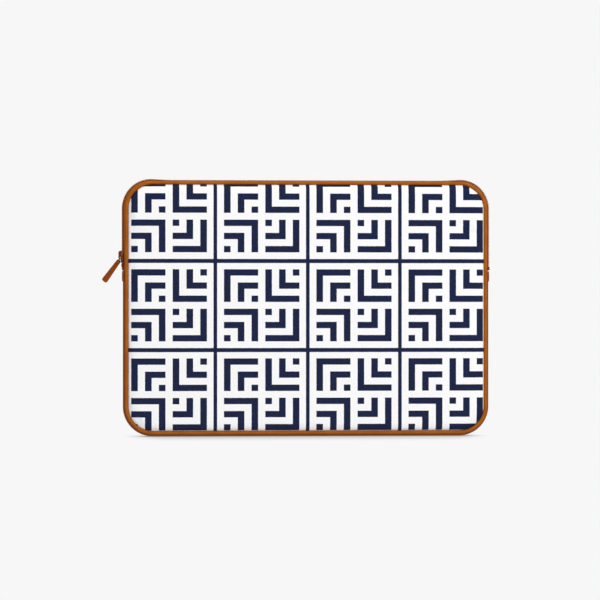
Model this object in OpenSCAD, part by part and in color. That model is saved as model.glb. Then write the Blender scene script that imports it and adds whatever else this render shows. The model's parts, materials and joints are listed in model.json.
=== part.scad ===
// Zipped laptop sleeve: two padded, printed panels joined by a piped gusset that is a zip round the top.
// Every sub-part is drawn lying down, width along X, height along Y and front towards +Z, and stood up at the end.

/* [Overall] */
// Width of the sleeve over its lower gusset
sleeve_w = 340; // [330:1:400]
// Height of the sleeve over its gusset, without the zip coil
sleeve_h = 238; // [230:1:290]
// Radius of the corners of the outline
corner_r = 27.5; // [25:0.5:40]
// Distance between the centre lines of the front and back piping
edge_depth = 20; // [20:0.5:26]
// How far each padded panel stands proud of its piping's centre line
crown = 3; // [2:0.25:5]

/* [Panels] */
// Thickness of the printed cover fabric
cover_t = 0.8; // [0.6:0.1:1]
// Thickness of the foam padding
foam_t = 3.4; // [3:0.1:3.4]
// Thickness of the plush lining
lining_t = 0.75; // [0.5:0.05:0.75]
// Width of the rounded shoulder between the piping and the flat of a panel
shoulder = 9; // [6:0.5:14]

/* [Trim] */
// Radius of the piping bead
piping_r = 1.6; // [1.4:0.1:1.8]
// Thickness of the leather wrapped round the piping cord
piping_wrap_t = 0.63; // [0.5:0.01:0.7]
// Distance from the outline to the centre of the piping bead
piping_inset = 3.5; // [3.2:0.1:4]
// Thickness of the gusset leather
gusset_t = 1; // [0.8:0.1:1.1]
// Width of the flat along the middle of the gusset
gusset_flat = 8; // [6:0.5:10]
// Thickness of the lining inside the gusset
gusset_lining_t = 0.6; // [0.4:0.1:0.8]
// Length of the seam allowance, from the bead centre
seam_l = 7; // [6:0.25:7]
// Thickness of the binding tape that closes the seam allowances
binding_t = 0.5; // [0.4:0.05:0.5]

/* [Zip] */
// Height at which the gusset ends and the zip tape begins, on both sides
gusset_top = 150; // [130:1:150]
// Height of the fold about which the mouth opens
fold_h = 173; // [173:0.5:180]
// Thickness of the zip tape
tape_t = 0.6; // [0.5:0.05:0.6]
// Width of each row of zip coil
coil_w = 2.5; // [2.2:0.1:2.5]
// Height of the zip coil above its tape
coil_t = 1.8; // [1.6:0.1:1.8]
// Gap between the two rows of coil
coil_gap = 1.1; // [1.1:0.1:1.3]
// Height of the middle of the slider
slider_h = 166.3; // [166:0.1:166.9]
// Length of the slider along the zip
slider_l = 11.5; // [11:0.1:11.8]
// Width of the slider across the zip
slider_w = 8.6; // [8.4:0.1:8.8]

/* [Pull] */
// Angle of the link away from hanging straight down
link_angle = 24; // [24:1:60]
// Angle of the leather tab away from hanging straight down
tab_angle = 36; // [20:1:60]
// Distance between the two bars of the pull link
link_l = 3.8; // [3.8:0.1:5]
// Radius of the link's wire
wire_r = 0.5; // [0.45:0.01:0.5]
// Length of the leather tab from its eye to its far end
tab_l = 22.8; // [16:0.2:28]
// Half width of the tab at its eye
tab_eye_r = 2; // [1.8:0.1:2]
// Half width of the tab at its far end
tab_end_w = 2.8; // [2.4:0.1:3]
// Radius of the corners of the tab's far end
tab_corner_r = 1.9; // [1:0.1:2.2]
// Thickness of each of the tab's two layers of leather
tab_layer_t = 1.25; // [1:0.05:1.25]

/* [Hidden] */

$fn = 48;
arc_steps = 8;        // straight steps in each curved stretch of a swept section
fit_gap = 0.04;       // air left between soft layers that touch
fold_gap = 0.2;       // air left between the two sides of the fold
clip = 1000;          // a length well past the whole sleeve

piping_z = edge_depth / 2;
half_w = sleeve_w / 2;
run_x = half_w - corner_r;          // straight runs stop this far from the middle
panel_z = piping_z + crown;         // height of a panel's flat above the mid plane
bead_r = piping_r + fit_gap;        // radius at which other layers pass the bead
flange_half_t = 0.45;               // half the thickness of the piping's flange
layer_v = flange_half_t + fit_gap;  // where the layers either side of the flange start
shoulder_d = piping_inset + bead_r; // where the panel leaves the bead
flat_d = shoulder_d + shoulder;     // where the panel becomes flat
foam_z = panel_z - cover_t - foam_t;
lining_z = foam_z - fit_gap - lining_t;
coil_d = coil_t / 2;                // the coil stands half in and half out of the outline
tape_d = coil_d + 0.05;
tape_flat = coil_gap / 2 + coil_w + 0.25;
coil_start = gusset_top + 3.4;

// ---------- sections: [inset from the outline, height above the mid plane] ----------

// A point of the seam: u runs inwards along the seam allowance, v across it towards the panel.
function seam(u, v) = [piping_inset + (u + v) / sqrt(2), piping_z + (v - u) / sqrt(2)];

// Where a layer at v meets a given height, or a given inset.
function seam_u_at_z(v, z) = v + (piping_z - z) * sqrt(2);
function seam_u_at_d(v, d) = (d - piping_inset) * sqrt(2) - v;

// Points just outside the piping bead, between two angles.
function bead_arc(from, to) = [
    for (i = [0 : arc_steps / 2])
        let (a = from + (to - from) * i / (arc_steps / 2))
        [piping_inset + bead_r * cos(a), piping_z + bead_r * sin(a)]
];

// Quarter ellipse that leaves the bead upwards and ends level with the panel's flat, moved in by `skin`.
function shoulder_arc(skin) = [
    for (i = [0 : arc_steps])
        let (a = 90 * i / arc_steps)
        [flat_d - (shoulder - skin) * cos(a), piping_z + (crown - skin) * sin(a)]
];

// Quarter ellipse from the middle flat of a side wall up to the bead, moved in by `skin`.
function wall_arc(side_d, flat_half, skin, last = 90) = [
    for (i = [0 : arc_steps])
        let (a = last * i / arc_steps)
        [piping_inset - (piping_inset - side_d - skin) * cos(a),
         flat_half + (piping_z - bead_r - flat_half - skin) * sin(a)]
];

// The same points on the other side of the mid plane, in reverse order.
function flip(points) = [for (i = [len(points) - 1 : -1 : 0]) [points[i][0], -points[i][1]]];
function reverse(points) = [for (i = [len(points) - 1 : -1 : 0]) points[i]];

// A section drawn for a sweep: radius from the corner's centre against height.
module section(points) {
    polygon([for (p = points) [corner_r - p[0], p[1]]]);
}

module cover_section() {
    back_v = layer_v + cover_t;
    turn_d = shoulder_d + cover_t;
    section(concat(
        shoulder_arc(0),
        reverse(shoulder_arc(cover_t)),
        [seam(seam_u_at_d(back_v, turn_d), back_v),
         seam(seam_l, back_v),
         seam(seam_l, layer_v)],
        bead_arc(-27, -4)
    ));
}

module foam_section() {
    gap_v = layer_v + cover_t + 2 * fit_gap;
    skin = cover_t + fit_gap;
    section(concat(
        shoulder_arc(skin),
        [[flat_d, foam_z],
         seam(seam_u_at_z(gap_v, foam_z), gap_v),
         seam(seam_u_at_d(gap_v, shoulder_d + skin), gap_v)]
    ));
}

module piping_section() {
    difference() {
        union() {
            translate([corner_r - piping_inset, piping_z]) circle(piping_r);
            section([seam(0, flange_half_t), seam(seam_l, flange_half_t),
                     seam(seam_l, -flange_half_t), seam(0, -flange_half_t)]);
        }
        translate([corner_r - piping_inset, piping_z]) circle(piping_r - piping_wrap_t);
    }
}

module cord_section() {
    translate([corner_r - piping_inset, piping_z]) circle(piping_r - piping_wrap_t - fit_gap);
}

// Tape folded over the raw ends of the seam allowances.
module binding_section() {
    panel_v = layer_v + cover_t + fit_gap;
    wall_v = -(layer_v + gusset_t + fit_gap);
    start_u = 4.8;
    end_u = seam_l + fit_gap;
    section([
        seam(start_u, panel_v), seam(start_u, panel_v + binding_t),
        seam(end_u + binding_t, panel_v + binding_t), seam(end_u + binding_t, wall_v - binding_t),
        seam(start_u, wall_v - binding_t), seam(start_u, wall_v),
        seam(end_u, wall_v), seam(end_u, panel_v)
    ]);
}

// One side of a wall that is sewn to the piping: outer points from seam to middle, then inner points back.
function wall_outer(side_d, flat_half) = concat(
    [seam(seam_l, -layer_v)],
    reverse(bead_arc(-90, -63)),
    reverse(wall_arc(side_d, flat_half, 0))
);
function wall_inner(side_d, flat_half, t) = concat(
    wall_arc(side_d, flat_half, t),
    [seam(seam_u_at_z(-layer_v - t, piping_z - bead_r - t), -layer_v - t),
     seam(seam_l, -layer_v - t)]
);

module gusset_section() {
    outer = wall_outer(0, gusset_flat / 2);
    inner = wall_inner(0, gusset_flat / 2, gusset_t);
    section(concat(outer, flip(outer), flip(inner), inner));
}

module gusset_lining_section() {
    outer = reverse(wall_arc(0, gusset_flat / 2, gusset_t + fit_gap, 64));
    inner = wall_arc(0, gusset_flat / 2, gusset_t + fit_gap + gusset_lining_t, 64);
    section(concat(outer, flip(outer), flip(inner), inner));
}

module patch_section(t) {
    outer = reverse(wall_arc(0, gusset_flat / 2, -fit_gap - t, 62));
    inner = wall_arc(0, gusset_flat / 2, -fit_gap, 62);
    section(concat(outer, flip(outer), flip(inner), inner));
}

module tape_section() {
    section(concat(
        wall_outer(tape_d, tape_flat),
        [[tape_d, coil_gap / 2 + 0.35], [tape_d + tape_t, coil_gap / 2 + 0.35]],
        wall_inner(tape_d, tape_flat, tape_t)
    ));
}

// The coil's rounded row: flat against the tape, round towards its own middle and edge.
module coil_section() {
    round_r = 0.5;
    translate([corner_r - coil_d, coil_gap / 2])
        rounded_rect([coil_t, coil_w], round_r);
}

// ---------- sweeps round the outline ----------

// Exact rectangle with round corners, its lowest corner at the origin.
module rounded_rect(size, r) {
    translate([r, 0]) square([size[0] - 2 * r, size[1]]);
    translate([0, r]) square([size[0], size[1] - 2 * r]);
    for (x = [r, size[0] - r], y = [r, size[1] - r])
        translate([x, y]) circle(r);
}

// Mirrors to the left when side is -1, and leaves things where they are when it is 1.
module on_side(side) {
    if (side < 0) mirror([1, 0, 0]) children();
    else children();
}

module side_run(side, from, to) {
    on_side(side)
        translate([run_x, to, 0])
            rotate([90, 0, 0])
                linear_extrude(to - from) children();
}

module level_run() {
    rotate([90, 0, 90])
        translate([0, 0, -run_x])
            linear_extrude(2 * run_x) children();
}

module corner(side, top) {
    quarter = top ? (side > 0 ? 0 : 90) : (side > 0 ? 270 : 180);
    translate([side * run_x, top ? sleeve_h - corner_r : corner_r, 0])
        rotate([0, 0, quarter])
            rotate_extrude(angle = 90) children();
}

// From a height on the left side, over the top, to the same height on the right.
module arch(from) {
    translate([0, sleeve_h - corner_r, 0]) level_run() children();
    for (side = [-1, 1]) {
        corner(side, true) children();
        side_run(side, from, sleeve_h - corner_r) children();
    }
}

// From a height on the left side, under the bottom, to the same height on the right.
module trough(to) {
    translate([0, corner_r, 0]) mirror([0, 1, 0]) level_run() children();
    for (side = [-1, 1]) {
        corner(side, false) children();
        side_run(side, corner_r, to) children();
    }
}

module ring() {
    arch(sleeve_h / 2) children();
    trough(sleeve_h / 2) children();
}

// A flat sheet of the outline's shape, inset from it, between two heights.
module sheet(inset, low, high) {
    translate([inset - half_w, inset, low])
        linear_extrude(high - low)
            rounded_rect([sleeve_w - 2 * inset, sleeve_h - 2 * inset], corner_r - inset);
}

module above_fold() {
    intersection() {
        children();
        translate([-clip / 2, fold_h + fold_gap / 2, -clip / 2]) cube(clip);
    }
}

module below_fold() {
    intersection() {
        children();
        translate([-clip / 2, fold_h - fold_gap / 2 - clip, -clip / 2]) cube(clip);
    }
}

module stand_up() {
    rotate([90, 0, 0]) children();
}

module to_back() {
    mirror([0, 0, 1]) children();
}

// ---------- panels ----------

module cover() {
    color("whitesmoke") {
        ring() cover_section();
        sheet(flat_d, panel_z - cover_t, panel_z);
    }
}

module foam() {
    color("dimgray") {
        ring() foam_section();
        sheet(flat_d, foam_z, panel_z - cover_t - fit_gap);
    }
}

module lining() {
    edge_d = 7.7;
    color("slategray") sheet(edge_d, lining_z, lining_z + lining_t);
}

// ---------- trim ----------

module piping() {
    color("peru") ring() piping_section();
}

module cord() {
    color("ivory") ring() cord_section();
}

module binding() {
    color("saddlebrown") ring() binding_section();
}

module gusset_strip() {
    color("peru") trough(gusset_top) gusset_section();
}

module gusset_lining() {
    color("slategray") trough(gusset_top) gusset_lining_section();
}

patch_t = 0.8;
patch_from = gusset_top - 6.5;
patch_to = gusset_top + 3;

module end_patch(side) {
    color("peru") side_run(side, patch_from, patch_to) patch_section(patch_t);
}

// Two rows of stitches across each patch, standing on its surface.
module patch_stitches() {
    stitch = [0.25, 0.4, 1.7];
    pitch = 2.4;
    color("sienna")
        for (side = [-1, 1], y = [patch_from + 1.2, patch_to - 1.2], k = [-1 : 1])
            translate([side * (half_w + patch_t + fit_gap + stitch[0] / 2), y, k * pitch])
                cube(stitch, center = true);
}

// ---------- zip ----------

module zip_tape(from) {
    color("peru") arch(from) tape_section();
}

module zip_tape_lower() {
    color("peru")
        for (side = [-1, 1])
            side_run(side, gusset_top + fold_gap, fold_h - fold_gap / 2) tape_section();
}

module zip_coil(from) {
    color("sienna") arch(from) coil_section();
}

module zip_coil_lower() {
    color("sienna")
        for (side = [-1, 1])
            side_run(side, coil_start, fold_h - fold_gap / 2) coil_section();
}

// A metal staple closed over both rows of coil.
module zip_stop(side, from) {
    length = 3;
    sheet_t = 0.4;
    inside = coil_gap + 2 * coil_w + 0.2;
    outer_x = coil_d + 0.1 + sheet_t;
    color("sienna")
        on_side(side)
            translate([half_w, from, 0])
                difference() {
                    translate([-coil_d, 0, -inside / 2 - sheet_t])
                        cube([coil_d + outer_x, length, inside + 2 * sheet_t]);
                    translate([-coil_d - 1, -1, -inside / 2])
                        cube([coil_d + 1 + coil_d + 0.1, length + 2, inside]);
                }
}

// ---------- slider, drawn with X outwards from the left outline and Y up the zip ----------

plate_x = coil_d + 0.15;        // inner face of the outer plate
plate_t = 1.05;
plate_top = plate_x + plate_t;
inner_plate_x = -tape_d - tape_t - 0.3;
inner_plate_t = 1.2;
bail_w = 1.8;
bail_open = 2 * wire_r + 0.2;   // height of the opening that the pull's link runs in
bail_open_l = 3.4;
bail_t = 0.85;
bail_low = -slider_l / 2 + 3.05;
bail_high = slider_l / 2 - 0.35;
bail_foot = 1;
bail_open_y = bail_low + bail_foot;
eye_x = plate_top + bail_open / 2;
eye_y = bail_open_y + wire_r + 0.1;
window_y = 0.2;
leaf_t = 0.28;
leaf_w = 1.2;

module at_slider() {
    on_side(-1) translate([half_w, slider_h, 0]) children();
}

// A plate parallel to the gusset, its round-cornered outline in the Y Z plane.
module slider_plate(low, t, length, width, r) {
    translate([low, 0, 0])
        rotate([0, 90, 0])
            linear_extrude(t)
                translate([-width / 2, -length / 2]) rounded_rect([width, length], r);
}

module slider_body() {
    flange_t = 0.8;
    flange_low = -tape_d + 0.4;
    neck_l = 2.6;
    neck_t = coil_gap - 0.2;
    plate_r = 2.4;
    window = [0.9 + 0.3, 1];
    color("sienna") at_slider() {
        difference() {
            union() {
                slider_plate(plate_x, plate_t, slider_l, slider_w, plate_r);
                for (z = [-slider_w / 2, slider_w / 2 - flange_t])
                    translate([flange_low, plate_r - slider_l / 2, z])
                        cube([plate_x + plate_t / 2 - flange_low, slider_l - 2 * plate_r, flange_t]);
                slider_plate(inner_plate_x - inner_plate_t, inner_plate_t, slider_l - 1, slider_w, plate_r);
                translate([inner_plate_x - inner_plate_t / 2, 0.8 - slider_l / 2, -neck_t / 2])
                    cube([plate_top - 0.3 - inner_plate_x + inner_plate_t / 2, neck_l, neck_t]);
            }
            translate([plate_x - 1, window_y, -window[1] / 2])
                cube([plate_t + 2, window[0], window[1]]);
        }
    }
}

// The cap that the pull hangs from: open at its lower end, with a channel above for the spring.
module slider_bail() {
    length = bail_high - bail_low;
    height = bail_open + bail_t;
    buried = 3;
    corner_r = 1.6;
    color("sienna") at_slider() difference() {
        translate([plate_top, bail_low, -bail_w / 2])
            linear_extrude(bail_w)
                intersection() {
                    translate([-buried, 0]) rounded_rect([buried + height, length], corner_r);
                    square([height, length]);
                }
        translate([plate_top - 1, bail_open_y, -bail_w])
            cube([1 + bail_open, bail_open_l, 2 * bail_w]);
        translate([plate_top - 1, bail_open_y, -leaf_w / 2 - 0.05])
            cube([1 + leaf_t + 0.12, bail_high - 0.9 - bail_open_y, leaf_w + 0.1]);
    }
}

// Spring leaf inside the cap, with the prong that drops between the coils and locks the slider.
module slider_lock() {
    prong_l = 0.9;
    prong_w = 0.8;
    prong_in = 1.3;
    prong_out = 1;
    leaf_to = bail_high - 1;
    color("silver") at_slider() {
        translate([plate_top + 0.03, window_y, -leaf_w / 2])
            cube([leaf_t, leaf_to - window_y, leaf_w]);
        translate([plate_top - prong_in, window_y + 0.15, -prong_w / 2])
            cube([prong_in + prong_out, prong_l, prong_w]);
    }
}

// ---------- pull, each piece drawn hanging down from the bar that it swings on ----------

link_half_w = tab_layer_t + wire_r + 0.3; // from the mid plane to the centre of each arm

module at_link() {
    at_slider() translate([eye_x, eye_y, 0]) rotate([0, 0, link_angle]) children();
}

module at_tab() {
    at_link() translate([0, -link_l, 0]) rotate([0, 0, tab_angle - link_angle]) children();
}

module pull_link() {
    color("sienna") at_link() {
        for (y = [0, -link_l]) {
            translate([0, y, -link_half_w]) cylinder(h = 2 * link_half_w, r = wire_r);
            for (z = [-link_half_w, link_half_w])
                translate([0, y, z]) sphere(wire_r);
        }
        for (z = [-link_half_w, link_half_w])
            translate([0, 0, z]) rotate([90, 0, 0]) cylinder(h = link_l, r = wire_r);
    }
}

module tab_outline() {
    hull() {
        circle(tab_eye_r);
        for (side = [-1, 1])
            translate([side * (tab_end_w - tab_corner_r), tab_corner_r - tab_l]) circle(tab_corner_r);
    }
}

module tab_layer(low) {
    color("peru") at_tab()
        translate([0, 0, low])
            difference() {
                linear_extrude(tab_layer_t) tab_outline();
                translate([0, 0, -1]) cylinder(h = tab_layer_t + 2, r = wire_r + 0.1);
            }
}

// Stitches along both edges of the tab, on both faces.
module pull_tab_stitches() {
    stitch = [0.35, 1.5, 0.25];
    edge = 0.75;
    count = 7;
    first = 3.4;
    pitch = (tab_l - tab_corner_r - first) / (count - 1);
    lean = atan((tab_end_w - tab_eye_r) / tab_l);
    face_z = fit_gap / 2 + tab_layer_t;
    color("burlywood") at_tab()
        for (side = [-1, 1], face = [-1, 1], k = [0 : count - 1])
            let (s = first + k * pitch)
            let (half = tab_eye_r + (tab_end_w - tab_eye_r) * s / tab_l - edge)
            translate([side * half, -s, face * (face_z + stitch[2] / 2)])
                rotate([0, 0, side * lean])
                    cube(stitch, center = true);
}

stand_up() to_back() cover();  // back_cover
stand_up() to_back() foam();  // back_foam
stand_up() to_back() lining();  // back_lining
stand_up() to_back() piping();  // back_piping
stand_up() to_back() cord();  // back_cord
stand_up() to_back() binding();  // back_binding
stand_up() below_fold() cover();  // front_cover_lower
stand_up() below_fold() foam();  // front_foam_lower
stand_up() below_fold() lining();  // front_lining_lower
stand_up() below_fold() piping();  // front_piping_lower
stand_up() below_fold() cord();  // front_cord_lower
stand_up() below_fold() binding();  // front_binding_lower
stand_up() above_fold() cover();  // front_cover_upper
stand_up() above_fold() foam();  // front_foam_upper
stand_up() above_fold() lining();  // front_lining_upper
stand_up() above_fold() piping();  // front_piping_upper
stand_up() above_fold() cord();  // front_cord_upper
stand_up() above_fold() binding();  // front_binding_upper
stand_up() gusset_strip();
stand_up() gusset_lining();
stand_up() end_patch(-1);  // end_patch_left
stand_up() end_patch(1);  // end_patch_right
stand_up() patch_stitches();
stand_up() to_back() zip_tape(gusset_top + fold_gap);  // zip_tape_back
stand_up() zip_tape_lower();  // zip_tape_front_lower
stand_up() zip_tape(fold_h + fold_gap / 2);  // zip_tape_front_upper
stand_up() to_back() zip_coil(coil_start);  // zip_coil_back
stand_up() zip_coil_lower();  // zip_coil_front_lower
stand_up() zip_coil(fold_h + fold_gap / 2);  // zip_coil_front_upper
stand_up() zip_stop(-1, coil_start + 3.4);  // zip_stop_left
stand_up() zip_stop(1, coil_start + 0.6);  // zip_stop_right
stand_up() slider_body();
stand_up() slider_bail();
stand_up() slider_lock();
stand_up() pull_link();
stand_up() tab_layer(fit_gap / 2);  // pull_tab_face
stand_up() tab_layer(-fit_gap / 2 - tab_layer_t);  // pull_tab_back
stand_up() pull_tab_stitches();
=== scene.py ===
"""The looks of the zipped laptop sleeve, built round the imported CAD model.

Lengths inside this script are millimetres until a mesh is made, because every sewn detail is a few
tenths of one. X is the width, Z the height, and -Y the front. Most soft pieces are sections swept
round the sleeve's rounded outline; a section is a list of (d, y) points, where d is the inset from
the outline and y the height above the mid plane, towards the piece's own side.
"""

import json
import math

import bpy
import numpy as np
from mathutils import Matrix, Vector, noise


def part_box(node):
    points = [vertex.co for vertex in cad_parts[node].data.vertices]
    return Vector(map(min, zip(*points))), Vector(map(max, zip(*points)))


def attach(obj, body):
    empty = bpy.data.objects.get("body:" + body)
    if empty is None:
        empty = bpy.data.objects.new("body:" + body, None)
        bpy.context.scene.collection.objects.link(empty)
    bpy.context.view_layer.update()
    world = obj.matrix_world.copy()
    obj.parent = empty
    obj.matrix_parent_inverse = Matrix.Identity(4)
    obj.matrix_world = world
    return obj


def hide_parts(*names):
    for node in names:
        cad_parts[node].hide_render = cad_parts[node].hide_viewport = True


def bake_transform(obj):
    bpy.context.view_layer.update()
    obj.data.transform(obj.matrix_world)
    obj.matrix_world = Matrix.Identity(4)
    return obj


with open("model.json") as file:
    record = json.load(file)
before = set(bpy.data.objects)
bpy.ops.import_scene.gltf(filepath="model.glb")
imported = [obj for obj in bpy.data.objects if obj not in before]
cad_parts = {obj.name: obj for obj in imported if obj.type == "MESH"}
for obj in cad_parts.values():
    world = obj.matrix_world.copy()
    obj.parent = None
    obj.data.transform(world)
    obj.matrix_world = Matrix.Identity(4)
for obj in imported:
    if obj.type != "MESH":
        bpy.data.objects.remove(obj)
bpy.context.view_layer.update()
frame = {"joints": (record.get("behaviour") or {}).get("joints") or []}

MM = 0.001

# ---------- sizes, from the CAD parts ----------


def joint_place(name):
    """A joint's place in millimetres."""
    return [c / MM for c in next(j for j in frame["joints"] if j["name"] == name)["pos_m"]]


def span(node, axis):
    """The two ends of a CAD part along an axis, 0 to 2, in millimetres."""
    return [corner[axis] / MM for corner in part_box(node)]


X, Y, Z = 0, 1, 2
HALF_W = span("gusset_strip", X)[1]
PATCH = span("end_patch_left", Z)
COIL_D = span("zip_coil_back", X)[1] - HALF_W  # the coil stands this far out of the outline
COIL_LOW = span("zip_coil_back", Z)[0]
SLEEVE_H = span("zip_coil_back", Z)[1] - COIL_D
PANEL_Y = span("back_cover", Y)[1]
TAPE_LOW = span("zip_tape_back", Z)[0]
GUSSET_TOP = span("gusset_strip", Z)[1]
FOLD = joint_place("mouth_opening")[Z]
LINK_PIVOT = joint_place("pull_link_swing")
TAB_PIVOT = joint_place("pull_tab_swing")
SLIDER_Z = sum(span("slider_body", Z)) / 2
SLIDER_L = span("slider_body", Z)[1] - span("slider_body", Z)[0]
SLIDER_W = span("slider_body", Y)[1] - span("slider_body", Y)[0]

# ---------- sizes of the sewn layers, the same as in the CAD source ----------

CORNER_R = 27.5  # of the outline
AIR = 0.04  # left between layers that touch
PIPING_D, PIPING_Y = 3.5, 10.0  # the middle of the piping's bead
PIPING_R, WRAP_T = 1.6, 0.63
BEAD_R = PIPING_R + AIR
FLANGE = 0.45  # half the thickness of the piping's doubled flange
SEAM_L = 7.0  # length of the seam allowance
COVER_T, FOAM_T, LINING_T = 0.8, 3.4, 0.75
CROWN = PANEL_Y - PIPING_Y
SHOULDER_D = PIPING_D + BEAD_R  # where the cover leaves the bead
SHOULDER = 9.0  # how far in from there the cover turns flat
FLAT_D = SHOULDER_D + SHOULDER
FOAM_Y = PANEL_Y - COVER_T - FOAM_T
LINING_Y = FOAM_Y - AIR - LINING_T
GUSSET_T, GUSSET_FLAT = 1.0, 4.0
TAPE_T, TAPE_FLAT = 0.6, 3.3
TAPE_D = COIL_D + 0.05

FRONT, BACK = -1, 1


# ---------- the outline and sweeps round it ----------

RUN_X = HALF_W - CORNER_R
SIDE = SLEEVE_H - 2 * CORNER_R
QUARTER = CORNER_R * math.pi / 2
LOOP = 4 * RUN_X + 2 * SIDE + 4 * QUARTER


def outline(s):
    """Points and outward normals of the outline at distances s along it, from the bottom middle and to the right."""
    low, high = CORNER_R, SLEEVE_H - CORNER_R
    ends = np.cumsum([0, RUN_X, QUARTER, SIDE, QUARTER, 2 * RUN_X, QUARTER, SIDE, QUARTER, RUN_X])
    turns = np.radians([-90, -90, 0, 0, 90, 90, 180, 180, 270, 270])
    # The line that the outline keeps CORNER_R away from runs straight between the corners' middles.
    middles_x = [0, RUN_X, RUN_X, RUN_X, RUN_X, -RUN_X, -RUN_X, -RUN_X, -RUN_X, 0]
    middles_z = [low, low, low, high, high, high, high, low, low, low]
    turn, x, z = (np.interp(np.mod(s, LOOP), ends, values) for values in (turns, middles_x, middles_z))
    nx, nz = np.round((np.cos(turn), np.sin(turn)), 15)  # exactly 0 or 1 along the straight runs
    return x + CORNER_R * nx, z + CORNER_R * nz, nx, nz


def at_inset(s, d, y):
    """Points at distances s along the outline, insets d from it and heights y from the mid plane."""
    x, z, nx, nz = outline(s)
    return np.stack([x - nx * d, y + np.zeros_like(x), z - nz * d], axis=-1)


def s_right(z):
    """Distance along the outline at a height on the right side's straight run."""
    return RUN_X + QUARTER + z - CORNER_R


def s_left(z):
    return LOOP - s_right(z)


ENDS = ((-1, "left"), (1, "right"))  # of the zip


def s_on(side, z):
    return s_right(z) if side > 0 else s_left(z)


SAG = 1.6  # how far the zip sinks between the panels along the top


def sag(s):
    """Depth the zip has sunk at distances s: nothing at the sides, easing in from the middle of the top corners."""
    from_side = np.minimum(s - s_right(SLEEVE_H - CORNER_R), s_left(SLEEVE_H - CORNER_R) - s)
    part = np.clip(from_side / QUARTER - 0.5, 0, 1)
    return SAG * part**2 * (3 - 2 * part)


def spread(first, last, step):
    """Stations from first to last, about a step apart."""
    return np.linspace(first, last, max(2, int(round((last - first) / step)) + 1))


def new_mesh(name, points, faces, uv=None, smooth=True):
    """A mesh object from points in millimetres; uv, if given, holds one pair in millimetres per face corner."""
    mesh = bpy.data.meshes.new(name)
    places = [tuple(p) for p in np.asarray(points, float) * MM]
    mesh.from_pydata(places, [], [tuple(int(i) for i in f) for f in faces])
    mesh.polygons.foreach_set("use_smooth", [smooth] * len(mesh.polygons))
    if uv is not None:
        layer = mesh.uv_layers.new(name="cloth")
        layer.data.foreach_set("uv", (np.asarray(uv, float) * MM).astype(np.float32).ravel())
    mesh.validate()
    obj = bpy.data.objects.new(name, mesh)
    bpy.context.scene.collection.objects.link(obj)
    return obj


def bands(rings, k, closed=False):
    """Faces between neighbouring rings of k points each."""
    pairs = [(i, (i + 1) % rings) for i in range(rings if closed else rings - 1)]
    return [(i * k + a, j * k + a, j * k + (a + 1) % k, i * k + (a + 1) % k) for i, j in pairs for a in range(k)]


def caps(rings, k):
    """The two end faces that close off bands."""
    return [tuple(range(k)), tuple(rings * k - 1 - a for a in range(k))]


def face_outwards(obj):
    """Turns every face of a closed mesh outwards, whichever way its sections ran."""
    mesh = obj.data
    co = np.zeros(len(mesh.vertices) * 3)
    mesh.vertices.foreach_get("co", co)
    mesh.calc_loop_triangles()
    tri = np.zeros(len(mesh.loop_triangles) * 3, int)
    mesh.loop_triangles.foreach_get("vertices", tri)
    a, b, c = (co.reshape(-1, 3)[tri.reshape(-1, 3)[:, i]] for i in range(3))
    if np.einsum("ij,ij->i", a, np.cross(b, c)).sum() < 0:
        mesh.flip_normals()
    return obj


def sweep(name, s, section, side=1, closed=False, wobble=None):
    """Sweeps a closed (d, y) section along the outline. section is a list of points, or one such list for each
    station. wobble, if given, holds for each station and point a push outwards from the section's middle."""
    s = np.asarray(s, float)
    section = np.asarray(section, float)
    if section.ndim == 2:
        section = np.broadcast_to(section, (len(s),) + section.shape)
    if wobble is not None:
        centre = section.mean(axis=1, keepdims=True)
        away = section - centre
        away = away / np.maximum(np.linalg.norm(away, axis=2, keepdims=True), 1e-9)
        section = section + away * wobble[:, :, None]
    n, k = section.shape[:2]
    points = np.stack([at_inset(s, section[:, a, 0], side * section[:, a, 1]) for a in range(k)], axis=1)
    around = np.zeros((n, k + 1))
    around[:, 1:] = np.cumsum(np.linalg.norm(np.roll(section, -1, axis=1) - section, axis=2), axis=1)
    faces, uv = bands(n, k, closed), []
    for i in range(n if closed else n - 1):
        j = (i + 1) % n
        s_j = s[j] if j else s[0] + LOOP
        for a in range(k):
            uv += [(s[i], around[i, a]), (s_j, around[j, a]), (s_j, around[j, a + 1]), (s[i], around[i, a + 1])]
    if not closed:
        for end in caps(n, k):
            faces.append(end)
            uv += [tuple(section.reshape(-1, 2)[i]) for i in end]
    return face_outwards(new_mesh(name, points.reshape(-1, 3), faces, uv))


# ---------- sections ----------


def seam(u, v):
    """A point of the seam allowance: u runs inwards along it, v across it towards the panel."""
    return (PIPING_D + (u + v) / math.sqrt(2), PIPING_Y + (v - u) / math.sqrt(2))


def arc(centre, radius, first, last, steps):
    """Points on an arc between two angles in degrees. A pair of radii gives part of an ellipse."""
    a, b = radius if isinstance(radius, tuple) else (radius, radius)
    turns = [math.radians(first + (last - first) * i / steps) for i in range(steps + 1)]
    return [(centre[0] + a * math.cos(turn), centre[1] + b * math.sin(turn)) for turn in turns]


def wall(side_d, flat, skin, last=90):
    """From the middle of a side wall up to the bead, or to an angle short of it, as an ellipse moved in by skin."""
    reach_d = PIPING_D - side_d - skin
    reach_y = PIPING_Y - BEAD_R - flat - skin
    return arc((PIPING_D, flat), (reach_d, reach_y), 180, 180 - last, 10)


def mirrored(points):
    return [(d, -y) for d, y in reversed(points)]


def wall_with_seam(side_d, flat, thickness):
    """Outer and inner points of a wall that is sewn to the piping, from the seam to the middle and back."""
    v = FLANGE + AIR
    outer = [seam(SEAM_L, -v), seam(3, -v)] + list(reversed(wall(side_d, flat, 0)))
    low = v + thickness
    inner = wall(side_d, flat, thickness) + [seam(3.4, -low), seam(SEAM_L, -low)]
    return outer, inner


# ---------- materials ----------


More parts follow.
